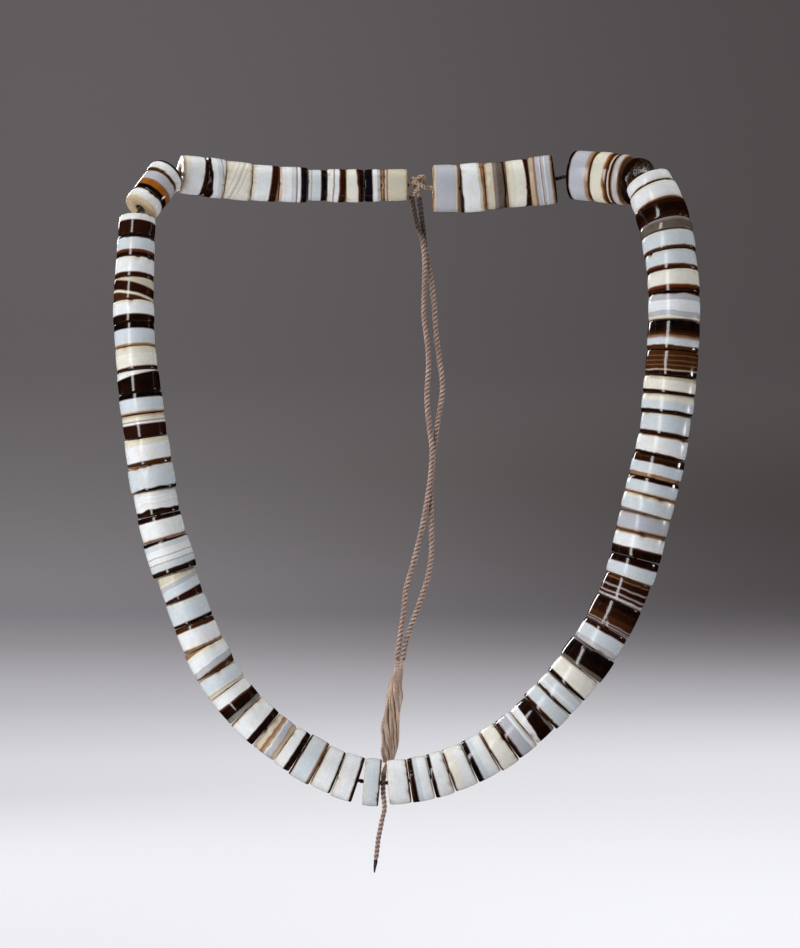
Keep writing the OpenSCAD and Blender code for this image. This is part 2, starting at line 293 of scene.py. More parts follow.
fray_line = even_steps(smooth_line(fray_points, 8), 0.25 * MM)
half_w, half_t = fray_w / 2 - edge_room, fray_t / 2 - edge_room
yarn_plies = []
random.seed(11)
for yarn in range(yarn_count):
    ring = 2 * math.pi * yarn / yarn_count + random.uniform(-0.1, 0.1)
    depth = random.uniform(0.6, 1.0) if yarn % 3 else random.uniform(0.1, 0.5)
    drift = random.uniform(-0.5, 0.5)
    line = []
    for i, centre in enumerate(fray_line):
        share = i / (len(fray_line) - 1)
        spot = share * (len(fray_share) - 1)
        k = min(int(spot), len(fray_share) - 2)
        width = fray_share[k] + (fray_share[k + 1] - fray_share[k]) * (spot - k)
        turn = ring + drift * share + wind_round * share
        reach = depth + most_sway * noise.noise(Vector((share * 6, yarn * 3.1, 0.5)))
        line.append(centre + Vector((half_w * width * reach * math.cos(turn),
                                     half_t * width * reach * math.sin(turn), 0)))
    yarn_plies += twisted(line, 2, 0.22 * MM, random.uniform(1.7, 2.3) * MM, ring)
fray = tube_mesh("loose_yarns", yarn_plies, yarn_r, 1, fray_line, 0.85 * MM)
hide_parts("fray")
print("loose yarns:", yarn_count, "triangles:", 2 * len(fray.data.polygons))

# %% [markdown]
# ## The waxed point
# The end of the cord was dipped and rolled to a hard dark point, like a needle, so that
# it could be pushed through the holes. A short spun profile with a few swellings does it.

# %% Roll the waxed point
tip_from = Vector((-9.72, -36, -204.7)) * MM
tip_way = (tail_end_line[-1] - tail_end_line[-8]).normalized()
tip_profile = [
    (0.0, 0.0), (0.52, 0.02), (0.62, 0.3), (0.56, 0.9), (0.5, 1.5), (0.44, 2.1),
    (0.36, 2.7), (0.28, 3.3), (0.19, 3.8), (0.08, 4.02), (0.0, 4.05),
]
lump_scale, lump_size = 1400, 0.12

tip = bmesh.new()
ring = [tip.verts.new((x * MM, 0, z * MM)) for x, z in tip_profile]
edges = [tip.edges.new(pair) for pair in zip(ring, ring[1:])]
bmesh.ops.spin(tip, geom=ring + edges, cent=(0, 0, 0), axis=(0, 0, 1),
               angle=2 * math.pi, steps=20, use_merge=True)
bmesh.ops.remove_doubles(tip, verts=tip.verts, dist=1e-6)
bmesh.ops.recalc_face_normals(tip, faces=tip.faces)
for vert in tip.verts:
    lump = noise.noise(Vector(vert.co) * lump_scale)
    vert.co.x *= 1 + lump_size * lump
    vert.co.y *= 1 + lump_size * lump
turn = tip_way.to_track_quat("Z", "Y").to_matrix().to_4x4()
bmesh.ops.transform(tip, matrix=Matrix.Translation(tip_from) @ turn, verts=tip.verts)
wax_point = object_from(tip, "waxed_point")
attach(wax_point, "root")
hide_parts("wax_tip")
print("waxed point faces:", len(wax_point.data.polygons))

# %% [markdown]
# ## The cords that hang free
# Three cords leave the knot or the loosened stretch and hang in the air. For each, the
# point where it starts, its length and the line it follows are read off below. The two
# long ones end in the joined cord, the last one in its waxed point.

tuple(tail_left_line[0])
line_length(tail_left_line)
[tuple(p) for p in tail_left_line]
tuple(tail_right_line[0])
line_length(tail_right_line)
[tuple(p) for p in tail_right_line]
tuple(tail_end_line[0])
line_length(tail_end_line)
[tuple(p) for p in tail_end_line]
print("free cords:", [cord.name for cord in (tail_left, tail_right, tail_end)])

# %% [markdown]
# ## Measuring the beads
# The CAD model holds each run of beads as one mesh of loose drilled discs. Instead of
# typing 85 places again, the script reads them off. The two largest flat faces of a
# disc are its ends. Their middles give the hole's axis and the length, and their
# directions tell how each end slants where the string bends.

# %% Read each disc off the CAD mesh
def loose_parts(bm):
    """Yield the faces of each part that hangs together."""
    seen = set()
    for start in bm.faces:
        if start in seen:
            continue
        seen.add(start)
        part, todo = [], [start]
        while todo:
            face = todo.pop()
            part.append(face)
            for edge in face.edges:
                for other in edge.link_faces:
                    if other not in seen:
                        seen.add(other)
                        todo.append(other)
        yield part


def measure_disc(faces):
    """Ends as (middle, facing), axis, centre, length and radius of one drilled disc."""
    areas = {}
    for face in faces:
        key = tuple(round(c, 2) for c in face.normal)
        areas[key] = areas.get(key, 0) + face.calc_area()
    ends = []
    for _ in range(2):
        way = Vector(max(areas, key=areas.get)).normalized()
        flat = [f for f in faces if f.normal.dot(way) > 0.9995]
        area = sum(f.calc_area() for f in flat)
        middle = sum((f.calc_area() * f.calc_center_median() for f in flat),
                     Vector()) / area
        facing = sum((f.calc_area() * f.normal for f in flat), Vector()).normalized()
        ends.append((middle, facing))
        areas = {k: a for k, a in areas.items() if Vector(k).dot(way) < -0.8}
    (first, _), (other, _) = ends
    axis = (other - first).normalized()
    points = {v for f in faces for v in f.verts}
    radius = max(((v.co - first) - (v.co - first).dot(axis) * axis).length
                 for v in points)
    return {"centre": (first + other) / 2, "ends": ends, "axis": axis,
            "length": (other - first).length, "radius": radius}


nape = Vector((3.1, 0, 0.8)) * MM


def measure_run(node):
    """The discs of a node in their order on the string, from the knot downwards."""
    bm = bmesh.new()
    bm.from_mesh(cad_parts[node].data)
    bmesh.ops.remove_doubles(bm, verts=bm.verts, dist=1e-6)
    discs = [measure_disc(part) for part in loose_parts(bm)]
    bm.free()
    ordered, here = [], nape
    while discs:
        nearest = min(discs, key=lambda d: (d["centre"] - here).length)
        discs.remove(nearest)
        ordered.append(nearest)
        here = nearest["centre"]
    for i, disc in enumerate(ordered):
        before = ordered[i - 1]["centre"] if i else nape
        after = ordered[min(i + 1, len(ordered) - 1)]["centre"]
        if disc["axis"].dot(after - before) < 0:
            disc["axis"] = -disc["axis"]
            disc["ends"].reverse()
    return ordered


left_discs = measure_run("beads_left")
right_discs = measure_run("beads_right")
print("discs on the left and right:", len(left_discs), len(right_discs))
print("diameters in mm:", [round(2000 * d["radius"], 1) for d in right_discs[:5]])

# %% [markdown]
# ## The stones
# Agate grows in layers, so the bands of one disc are slices through the same stripes.
# The palette names the stones that occur. The chart below then reads like a maker's
# list: for each disc, from its end nearer the knot, which stone reaches up to how many
# percent of its length. Two leans tilt the layers across the front and into the depth.

# %% Name the stones
stones = {
    "white": (222, 225, 228), "milk": (222, 220, 211), "cream": (212, 209, 193),
    "ice": (197, 206, 213), "lilac": (174, 178, 188), "grey": (124, 122, 120),
    "smoke": (96, 86, 76), "olive": (122, 118, 96), "bone": (196, 190, 172),
    "sand": (176, 158, 132), "pink": (198, 176, 172), "tan": (142, 106, 74),
    "honey": (156, 88, 24), "rust": (92, 40, 16), "umber": (64, 35, 15),
    "brown": (38, 16, 8), "dark": (18, 8, 4), "black": (7, 5, 6), "navy": (6, 8, 18),
}
stone_index = {name: i for i, name in enumerate(stones)}
print("kinds of stone:", len(stones))


def linear(colour):
    """A colour in screen values of 0 to 255 as the linear colour that nodes expect."""
    return [((c / 255 + 0.055) / 1.055) ** 2.4 for c in colour] + [1.0]


# %% Chart the left run
# bands, lean across, lean in depth, wave, fine lines, stain at the start, at the end
left_chart = [
    ("bone 76, tan 80, bone 87, umber 92, tan", 0, 0, 0.1, 0.2, 0.7, 0.3),
    ("lilac 20, white 49, navy", 0, 0, 0.1, 0.2, 0.2, 0.1),
    ("dark 24, umber 36, milk 94, cream", 0.06, 0, 0.4, 0.3, 0.1, 0.2),
    ("brown 28, rust 36, white 62, olive 68, white", -0.04, 0, 0.3, 0.2, 0.1, 0.3),
    ("navy 32, ice 80, grey 83, ice", 0, 0, 0.1, 0.4, 0.1, 0.1),
    ("navy 24, white 36, olive 40, ice 56, white 90, pink", 0.02, 0, 0.1, 0.6, 0.1, 0.1),
    ("tan 3, brown 28, rust 31, white 88, milk", -0.08, 0, 0.2, 0.3, 0.1, 0.5),
    ("milk 34, sand 36, milk 50, olive 52, cream 60, milk 72, sand 74, milk 90, cream",
     -0.36, 0, 0.3, 0.5, 0.8, 0.5),
    ("ice 12, umber 14, ice 42, white 74, dark", 0.14, 0, 0.9, 0.2, 0.5, 0),
    ("brown 14, white 72, milk 92, cream", -0.05, 0, 0.3, 0.1, 0.1, 0.8),
    ("umber 6, dark 26, white 90, umber", -0.05, 0, 0.2, 0.1, 0.3, 0.1),
    ("rust 6, lilac 50, tan 55, honey 80, black", 0, 0, 0.3, 0.1, 0.1, 0.1),
    ("white 60, milk 88, bone", 0, 0, 0.2, 0.1, 0.1, 0.6),
    ("white 33, brown", 0, 0, 0.1, 0.1, 0, 0),
    ("black 14, ice 70, rust 84, dark", 0, 0, 0.1, 0.1, 0, 0),
    ("white 78, umber 84, brown", 0, 0, 0.1, 0, 0, 0),
    ("bone 26, brown 70, cream 82, umber", -0.22, 0, 0.2, 0.1, 0.4, 0),
    ("milk 14, white 66, umber 72, dark", 0, 0, 0.1, 0, 0.3, 0),
    ("black 28, ice 92, tan", 0, 0, 0.1, 0, 0, 0.5),
    ("cream 30, milk 86, brown", 0.03, 0, 0.1, 0, 0.4, 0),
    ("white 20, dark", 0.16, 0, 0.1, 0, 0, 0),
    ("black 27, ice 93, tan", 0, 0, 0.1, 0, 0, 0.6),
    ("cream 28, grey 32, white 42, brown 92, dark", 0, 0, 0.1, 0.2, 0.8, 0),
    ("cream 24, white 84, umber", 0.06, 0, 0.2, 0.1, 0.4, 0.2),
    ("tan 4, ice 90, black", 0.05, 0, 0.7, 0, 0.3, 0),
    ("white 76, dark 92, brown", 0, 0, 0.9, 0.8, 0, 0),
    ("dark 20, white 92, tan", 0.02, 0, 0.2, 0.1, 0, 0.6),
    ("black 8, ice 24, white 44, olive 46, white 62, grey 64, ice 84, dark", 0.04, 0,
     0.3, 0.6, 0, 0),
    ("bone 20, cream 27, lilac 44, ice 78, brown", 0.18, 0, 0.3, 0.2, 0.4, 0),
    ("ice 86, dark", 0.04, 0, 0.2, 0.1, 0, 0),
    ("umber 20, white 88, tan", 0, 0, 0.3, 0.1, 0, 0.5),
    ("tan 4, milk 20, white 60, lilac 84, umber", 0.18, 0, 0.4, 0.2, 0.2, 0.3),
    ("lilac 10, ice 76, cream 84, tan 87, cream", 0, 0, 0.3, 0.3, 0, 0.3),
    ("white 42, umber 50, dark 84, grey", 0, 0, 0.4, 0.1, 0, 0),
    ("tan 5, white 72, dark", 0.03, 0, 0.2, 0.1, 0.4, 0),
    ("sand 12, bone 30, tan 36, sand 48, white 55, lilac 80, sand", 0.05, 0, 0.9, 0.4,
     0.3, 0.2),
    ("white 64, dark", 0, 0, 0.2, 0.1, 0.2, 0),
    ("brown 8, ice 84, tan 92, umber", 0, 0, 0.2, 0, 0, 0.3),
    ("tan 5, white 88, black", 0, 0, 0.3, 0.1, 0.4, 0),
    ("white 84, brown", 0, 0, 0.2, 0.4, 0.3, 0),
    ("ice 90, umber", 0, 0, 0.2, 0.1, 0.3, 0.3),
]

# %% Chart the right run
right_chart = [
    ("tan 5, bone 14, lilac 88, bone 94, tan", 0, 0, 0.2, 0.2, 0.6, 0.5),
    ("brown 8, white 76, bone 88, tan", 0.06, 0, 0.4, 0.2, 0.2, 0.7),
    ("bone 40, grey 56, smoke 84, dark 94, tan", 0, 0, 0.5, 0.2, 0.9, 0.2),
    ("cream 24, milk 72, brown", 0, -0.12, 0.2, 0.1, 0.6, 0),
    ("sand 22, umber 25, lilac 44, white 48, grey 51, lilac 64, white 68, lilac 90,"
     " tan 96, dark", 0, 0, 0.2, 0.7, 0.7, 0.3),
    ("black 14, lilac 80, sand 88, tan 94, brown", 0, 0, 0.3, 0.1, 0, 0.9),
    ("dark 5, cream 74, sand 80, honey 88, umber", 0, 0, 0.4, 0.1, 0.1, 0.4),
    ("pink 20, brown 42, tan 48, lilac 92, tan", 0, 0, 0.2, 0.1, 0, 0),
    ("umber 12, dark", 0, 0, 0.2, 0, 0, 0),
    ("white 86, brown", 0, 0, 0.2, 0, 0, 0.1),
    ("milk 12, white", 0, 0, 0.2, 0, 0.2, 0),
    ("rust 8, brown 30, dark 76, brown", 0, 0, 0.2, 0, 0, 0),
    ("grey 26, smoke", 0, 0, 0.3, 0.1, 0, 0.1),
    ("ice 88, rust 94, brown", 0, 0, 0.1, 0, 0, 0),
    ("ice 78, rust 89, brown", -0.03, 0, 0.2, 0, 0, 0.1),
    ("milk 70, tan 74, rust 86, brown", 0, 0, 0.2, 0, 0.2, 0),
    ("brown 7, lilac 30, white 70, lilac 90, cream", -0.02, 0, 0.5, 0, 0, 0.2),
    ("black 26, dark 36, brown 45, umber 53, tan 59, lilac 66, ice 86, umber", 0, 0,
     0.4, 0, 0, 0),
    ("umber 20, tan 22, umber 40, tan 42, umber 58, tan 60, umber 76, bone 81, dark",
     0.02, 0, 0.3, 0.4, 0, 0),
    ("bone 22, milk 82, dark", -0.02, 0, 0.2, 0.1, 0.6, 0),
    ("milk 40, ice 84, black", -0.02, 0, 0.3, 0.1, 0.7, 0),
    ("tan 4, ice 86, brown", -0.02, 0, 0.2, 0, 0.2, 0),
    ("umber 6, tan 11, white 90, brown", -0.02, 0, 0.4, 0.2, 0.6, 0.1),
    ("black 6, umber 14, brown 34, ice 84, tan", 0, 0, 0.3, 0, 0, 0.6),
    ("dark 24, ice 92, tan", 0, 0, 0.2, 0.1, 0, 0.5),
    ("tan 5, milk 30, ice 94, grey", -0.04, 0, 0.2, 0.1, 0.8, 0),
    ("grey 8, lilac 88, tan 93, umber", 0, 0, 0.3, 0.3, 0.5, 0.4),
    ("tan 7, white 62, umber 70, dark", 0, 0, 0.3, 0, 0.7, 0),
    ("dark 30, umber 36, ice", 0, 0, 0.3, 0, 0, 0.1),
    ("umber 14, tan 17, brown 44, lilac 50, brown 72, lilac 78, brown 90, lilac", 0, 0,
     0.4, 0.3, 0.2, 0),
    ("dark 30, brown 60, umber 84, lilac 87, brown 93, lilac 96, brown", 0, 0, 0.3, 0.5,
     0, 0),
    ("umber 6, brown 22, ice 76, lilac", 0, 0, 0.4, 0.1, 0, 0.1),
    ("grey 5, black 44, dark 84, smoke", 0.04, 0, 0.4, 0, 0, 0),
    ("milk 82, dark", -0.05, 0, 0.2, 0, 0.2, 0),
    ("ice 50, white 66, ice 85, dark", 0, 0, 0.2, 0.1, 0.1, 0),
    ("ice 80, umber 86, brown", 0, 0, 0.3, 0.1, 0.1, 0),
    ("grey 5, brown 14, dark 68, white", -0.14, 0, 0.6, 0.1, 0, 0),
    ("lilac 10, white 26, lilac 80, brown", 0, 0, 0.3, 0.3, 0.1, 0),
    ("umber 5, milk 90, umber", 0, 0, 0.2, 0, 0.4, 0.2),
    ("tan 4, white 50, ice 76, black", 0, 0, 0.2, 0.1, 0.3, 0),
    ("white 46, milk 90, umber", 0, 0, 0.3, 0.2, 0.3, 0.1),
    ("white 78, dark", 0, 0, 0.3, 0.1, 0.4, 0),
    ("white 50, ice 72, dark 92, umber", 0.02, 0, 0.2, 0.1, 0.2, 0),
    ("umber 6, white", 0, 0, 0.2, 0.1, 0.4, 0.1),
]
most_bands = max(bands.count(",") + 1 for bands, *_ in left_chart + right_chart)
print("charted discs:", len(left_chart), len(right_chart), "most bands:", most_bands)

# %% [markdown]
# ## Shaping a disc
# One closed profile, spun once round the hole, makes a disc with a flared hole, flat
# ends and worn rims. The spin gives clean rings of faces, where a drilled cylinder would
# need a boolean. The faces get empty attributes first, for the band recipe.

# %% Spin the profile of a disc
hole_r = 1.3 * MM
flare = 0.35 * MM
bulge = 0.10 * MM
spin_steps = 60
face_facts = ["ends_a", "ends_b", "ends_c", "ends_d", "stones_a", "stones_b",
              "stones_c", "stones_d", "lean", "wear", "disc"]


def disc_profile(radius, length, rim):
    """Half section as (distance from the axis, height), all the way round."""
    arc = [math.radians(a) for a in (0, 22, 45, 68, 90)]
    first = [(radius - rim + rim * math.sin(a), rim - rim * math.cos(a)) for a in arc]
    low = [(hole_r, 0.9 * MM), (hole_r + 0.12 * MM, 0.3 * MM),
           (hole_r + flare, 0.04 * MM), (0.5 * (hole_r + radius), 0.0)]
    side = [(radius, length * s) for s in (0.3, 0.5, 0.7)]
    side = [(r - bulge + bulge * math.sin(math.pi * z / length), z) for r, z in side]
    half = [(r - (bulge if z > rim * 0.3 and r > radius - rim else 0), z)
            for r, z in low + first]
    other = [(r, length - z) for r, z in reversed(half)]
    return half + side + other


def spin_disc(radius, length, rim):
    bm = bmesh.new()
    bm.verts.layers.float_vector.new("grain")
    bm.verts.layers.float.new("chip")
    for fact in face_facts:
        bm.faces.layers.float_vector.new(fact)
    ring = [bm.verts.new((r, 0, z)) for r, z in disc_profile(radius, length, rim)]
    edges = [bm.edges.new((a, b)) for a, b in zip(ring, ring[1:] + ring[:1])]
    bmesh.ops.spin(bm, geom=ring + edges, cent=(0, 0, 0), axis=(0, 0, 1),
                   angle=2 * math.pi, steps=spin_steps, use_merge=True)
    return bm


# %% [markdown]
# ## Wearing it down
# Old discs are never quite round, small chips have broken out of their rims, and where
# the string bends their ends are worn to a slant, so that they sit close. Single points
# move for all three. The layers need to know where a point sat in the uncut stone, so
# every point keeps that place, in millimetres, as an attribute.

# %% Chip, slant and place a disc
swell_scale, swell_depth = 180, 0.10 * MM
chip_reach = 1.1 * MM


def draw_chips(dice):
    """Chips as (angle, half width in radians, depth, which end)."""
    return [(dice.uniform(0, 2 * math.pi), dice.uniform(0.06, 0.2),
             dice.uniform(0.08, 0.38) * MM, dice.choice((0, 1)))
            for _ in range(dice.randint(5, 9))]


def wear_disc(bm, disc, radius, chips, seed):
    grain = bm.verts.layers.float_vector["grain"]
    chip = bm.verts.layers.float["chip"]
    length, ahead = disc["length"], disc["axis"]
    front = Vector((0, -1, 0))
    front = (front - front.dot(ahead) * ahead).normalized()
    across = front.cross(ahead)
    foot = disc["centre"] - ahead * length / 2
    slants = [(facing.dot(across) / facing.dot(ahead),
               facing.dot(front) / facing.dot(ahead)) for _, facing in disc["ends"]]
    for vert in bm.verts:
        x, y, z = vert.co
        off = math.hypot(x, y)
        angle = math.atan2(y, x)
        vert[grain] = Vector((x, y, z)) / MM
        swell = noise.noise(Vector((x, y, z)) * swell_scale + Vector((seed, 0, 0)))
        worn = swell_depth * (0.5 + 0.5 * swell) if off > 2 * hole_r else 0
        off_new = off - worn
        hurt = 0.0
        for spot, width, depth, end in chips:
            near = z if end == 0 else length - z
            gap = math.hypot(near, radius - off) / chip_reach
            turn = abs((angle - spot + math.pi) % (2 * math.pi) - math.pi) / width
            if gap < 1 and turn < 1:
                w = (1 - gap * gap) * (1 - turn * turn)
                off_new -= depth * w
                z += depth * 0.8 * w * (1 if end == 0 else -1)
                hurt = max(hurt, w * min(1, depth / (0.2 * MM)))
        lift = [-(x * tip_x + y * tip_y) for tip_x, tip_y in slants]
        z += lift[0] + (lift[1] - lift[0]) * vert.co.z / length
        vert[chip] = hurt
        vert.co = foot + across * off_new * math.cos(angle) \
            + front * off_new * math.sin(angle) + ahead * z


# %% [markdown]
# ## Writing the recipe on the faces
# A face attribute holds three numbers, so four of them hold where the bands of a disc
# end, in millimetres, and four more hold which stones they are. A stone is written as
# its place on a colour ramp. One material can then serve all the discs.

# %% Write a row of the chart on a disc
band_slots = 12
no_end = 999.0
stone_steps = 32


def band_facts(row, length, seed):
    bands, lean_across, lean_depth, wave, fine, stain_a, stain_b = row
    names, ends = [], []
    for band in bands.split(","):
        words = band.split()
        names.append(stone_index[words[0]])
        ends.append(float(words[1]) / 100 * length / MM if len(words) > 1 else no_end)
    names += [names[-1]] * (band_slots - len(names))
    ends += [no_end] * (band_slots - len(ends))
    codes = [(n + 0.5) / stone_steps for n in names]
    facts = [Vector(ends[k:k + 3]) for k in range(0, band_slots, 3)]
    facts += [Vector(codes[k:k + 3]) for k in range(0, band_slots, 3)]
    facts += [Vector((lean_across, lean_depth, wave)),
              Vector((fine, stain_a, stain_b)),
              Vector((length / MM, seed * 0.37, 0))]
    return facts


def shape_disc(disc, row, seed):
    length, radius = disc["length"], disc["radius"] - 0.02 * MM
    dice = random.Random(seed)
    rim = dice.uniform(0.45, 0.8) * MM
    bm = spin_disc(radius, length, rim)
    wear_disc(bm, disc, radius, draw_chips(dice), seed)
    for name, fact in zip(face_facts, band_facts(row, length, seed)):
        layer = bm.faces.layers.float_vector[name]
        for face in bm.faces:
            face[layer] = fact
    bmesh.ops.recalc_face_normals(bm, faces=bm.faces)
    mesh = bpy.data.meshes.new("one_disc")
    bm.to_mesh(mesh)
    bm.free()
    return mesh


# %% Build the two runs
def build_run(name, discs, chart, node, seed):
    run = bmesh.new()
    for i, (disc, row) in enumerate(zip(discs, chart)):
        one = shape_disc(disc, row, seed + i)
        run.from_mesh(one)
        bpy.data.meshes.remove(one)
    piece = object_from(run, name)
    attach(piece, "root")
    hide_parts(node)
    print(name, "triangles:", 2 * len(piece.data.polygons))
    return piece


agate_left = build_run("agate_discs_left", left_discs, left_chart, "beads_left", 10)
agate_right = build_run("agate_discs_right", right_discs, right_chart, "beads_right",
                        200)

# %% [markdown]
# ## The thread
# The same two-ply cord, a little thinner, runs through every hole. It shows only where
# the discs stand apart, in their shade, so it is made much darker as painted shade. Its
# line joins the ends of the measured holes, and where a gap is wide it bends through it,
# leaving one hole and entering the next straight. At the knot's right the knot's own
# strand, made paler as painted light, reaches the first large disc.

# %% Run the thread through the holes
thread_r = 0.7 * MM
thread_pitch = 2.3 * MM
wide_gap = 1.5 * MM

holes = [(d["ends"][0][0], d["ends"][1][0], d["axis"]) for d in left_discs]
holes += [(d["ends"][1][0], d["ends"][0][0], -d["axis"]) for d in reversed(right_discs)]
through = [Vector((0.3, 0, 0)) * MM]
for i, (into, out, way) in enumerate(holes):
    if i and (into - through[-1]).length > wide_gap:
        left_off, bend = through[-1], holes[i - 1][2]
        through += [hermite(left_off, bend, into, way, k / 6) for k in range(1, 6)]
    through += [into, out]
thread_line = even_steps(through, thread_pitch / 9)
thread = tube_mesh("bead_thread", twisted(thread_line, 2, 0.33 * MM, thread_pitch),
                   0.36 * MM, 1, thread_line, thread_r)
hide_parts("thread")
print("thread length in mm:", round(line_length(thread_line) / MM, 1))

# %% [markdown]
# ## The knot
# The thread is tied in an overhand knot at the nape. Two given lines go round each other,
# one from each side of the loop down into its tail, and both are wound as the same
# two-ply cord, so the knot reads as one tight lump of turns.

# %% Tie the knot
knot_from_left = [
    (0.3, 0, 0), (1.3, -1.2, 0.2), (2.4, -2.0, 1.2), (3.6, -1.9, 2.3), (4.8, -0.8, 2.2),
    (5.0, 0.7, 0.8), (4.0, 1.8, -0.3), (2.4, 1.7, 0.2), (1.3, 0.6, 1.3),
    (1.6, -0.9, 1.9), (2.9, -1.6, 0.6), (3.2, -1.3, -1.0), (2.1, -0.5, -2.2),
    (1.2, 0, -3.3), (1, 0, -3.8),
]
knot_from_right = [
    (8.6, 0, -0.9), (7.5, 0, -0.9), (6.3, 0, -0.9), (5.3, -1.0, -0.9),
    (4.3, -1.9, -0.4), (3.0, -2.3, 0.2), (1.9, -1.6, 0.9), (1.4, -0.2, 0.2),
    (1.9, 1.2, -0.7), (3.4, 1.6, -0.9), (4.6, 0.9, 0.1), (4.4, -0.4, 1.1),
    (3.4, -0.6, 1.9), (2.4, 0.4, 1.6), (2.6, 1.0, -0.3), (3.2, 0.8, -2.2),
    (3.4, 0.6, -3.3), (3.4, 0.6, -3.8),
]
knot_plies, knot_core = [], []
for points in (knot_from_left, knot_from_right):
    line = even_steps(smooth_line(points, 8), 0.22 * MM)
    knot_core += line
    knot_plies += twisted(line, 2, 0.31 * MM, 2.2 * MM, 0.4)
knot = tube_mesh("nape_knot", knot_plies, 0.36 * MM, 2, knot_core, 0.55 * MM)
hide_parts("knot")
print("knot faces:", len(knot.data.polygons))

# %% [markdown]
# ## Writing a material in nodes
# Long materials read better through a few helpers: one node for a sum, one for a mix,
# one for a noise, one for a soft step between two values. Each returns the socket to
# plug in next.

# %% Helpers for node materials
class Recipe:
    def __init__(self, name):
        self.material = bpy.data.materials.new(name)
        self.material.use_nodes = True
        self.tree = self.material.node_tree
        self.shader = self.tree.nodes["Principled BSDF"]

    def node(self, kind, inputs=None, **settings):
        made = self.tree.nodes.new(kind)
        for key, value in settings.items():
            setattr(made, key, value)
        for key, value in (inputs or {}).items():
            self.plug(value, made.inputs[key])
        return made

    def plug(self, value, socket):
        if isinstance(value, bpy.types.NodeSocket):
            self.tree.links.new(value, socket)
        else:
            socket.default_value = value

    def sum(self, operation, *values, clamp=False):
        made = self.node("ShaderNodeMath", operation=operation, use_clamp=clamp)
        for i, value in enumerate(values):
            self.plug(value, made.inputs[i])
        return made.outputs[0]

    def vector(self, operation, a, b=(0, 0, 0)):
        made = self.node("ShaderNodeVectorMath", operation=operation)
        self.plug(a, made.inputs[0])
        self.plug(b, made.inputs["Scale" if operation == "SCALE" else 1])
        return made.outputs["Value" if operation == "LENGTH" else "Vector"]

    def attribute(self, name):
        return self.node("ShaderNodeAttribute", attribute_name=name)

    def parts(self, name):
        split = self.node("ShaderNodeSeparateXYZ",
                          {0: self.attribute(name).outputs["Vector"]})
        return list(split.outputs)

    def mix(self, share, a, b):
        made = self.node("ShaderNodeMix", data_type="RGBA")
        self.plug(share, made.inputs[0])
        self.plug(a, made.inputs[6])
        self.plug(b, made.inputs[7])
        return made.outputs[2]

    def noise(self, place, scale, detail=2.0, dimensions="3D", rough=0.5):
        made = self.node("ShaderNodeTexNoise", noise_dimensions=dimensions)
        self.plug(place, made.inputs["W" if dimensions == "1D" else "Vector"])
        made.inputs["Scale"].default_value = scale
        made.inputs["Detail"].default_value = detail
        made.inputs["Roughness"].default_value = rough
        return made.outputs["Fac"]

    def between(self, value, low, high, to_low=0.0, to_high=1.0):
        made = self.node("ShaderNodeMapRange", interpolation_type="SMOOTHSTEP")
        for i, number in enumerate((value, low, high, to_low, to_high)):
            self.plug(number, made.inputs[i])
        return made.outputs[0]

    def bump(self, height, strength, distance, under=None):
        made = self.node("ShaderNodeBump", {"Height": height})
        made.inputs["Strength"].default_value = strength
        made.inputs["Distance"].default_value = distance
        if under:
            self.plug(under, made.inputs["Normal"])
        return made.outputs[0]

    def finish(self, **inputs):
        """Plug the results into the shader, with _ for a space in a socket's name."""
        for key, value in inputs.items():
            self.plug(value, self.shader.inputs[key.replace("_", " ")])
        return self.material


# %% [markdown]
# ## Banded agate
# One material serves all the discs, because each face carries its own recipe. A point's
# height in its disc, tilted by the leans and shaken by a little noise, says which layer
# of the stone it lies in. The noise is read in the uncut stone, shifted for each disc,
# and all lengths in this material are millimetres of that stone.

# %% Find the layer of a point
r = Recipe("banded_agate")
grain = r.attribute("grain").outputs["Vector"]
x, y, z = r.parts("grain")
lean_across, lean_depth, wave = r.parts("lean")
fine, stain_a, stain_b = r.parts("wear")
length, seed, _ = r.parts("disc")
chip = r.attribute("chip").outputs["Fac"]
shift = r.node("ShaderNodeCombineXYZ", {0: seed, 1: r.sum("MULTIPLY", seed, 1.7)})
place = r.vector("ADD", grain, shift.outputs[0])

slow = r.sum("SUBTRACT", r.noise(place, 0.22, 1.0), 0.5)
quick = r.sum("SUBTRACT", r.noise(place, 1.6, 2.0), 0.5)
layer = r.sum("ADD", z, r.sum("MULTIPLY", x, lean_across))
layer = r.sum("ADD", layer, r.sum("MULTIPLY", y, lean_depth))
layer = r.sum("ADD", layer, r.sum("MULTIPLY", slow, r.sum("MULTIPLY", wave, 2.0)))
layer = r.sum("ADD", layer, r.sum("MULTIPLY", quick, 0.14))

# %% [markdown]
# ## The bands
# The layer is compared with the end of each band in turn. Beyond it the next stone
# takes over, along a short slope instead of a step, so that the borders stay soft. The
# distance to the nearest border and whether a band is pale or deep are kept for later.

# %% Stack the bands
border_slope = 2.4


def stone(code):
    ramp = r.node("ShaderNodeValToRGB")
    stops = ramp.color_ramp
    stops.interpolation = "CONSTANT"
    while len(stops.elements) < len(stones):
        stops.elements.new(0.5)
    for i, colour in enumerate(stones.values()):
        stops.elements[i].position = i / stone_steps
        stops.elements[i].color = linear(colour)
    r.plug(code, ramp.inputs[0])
    return ramp.outputs[0]


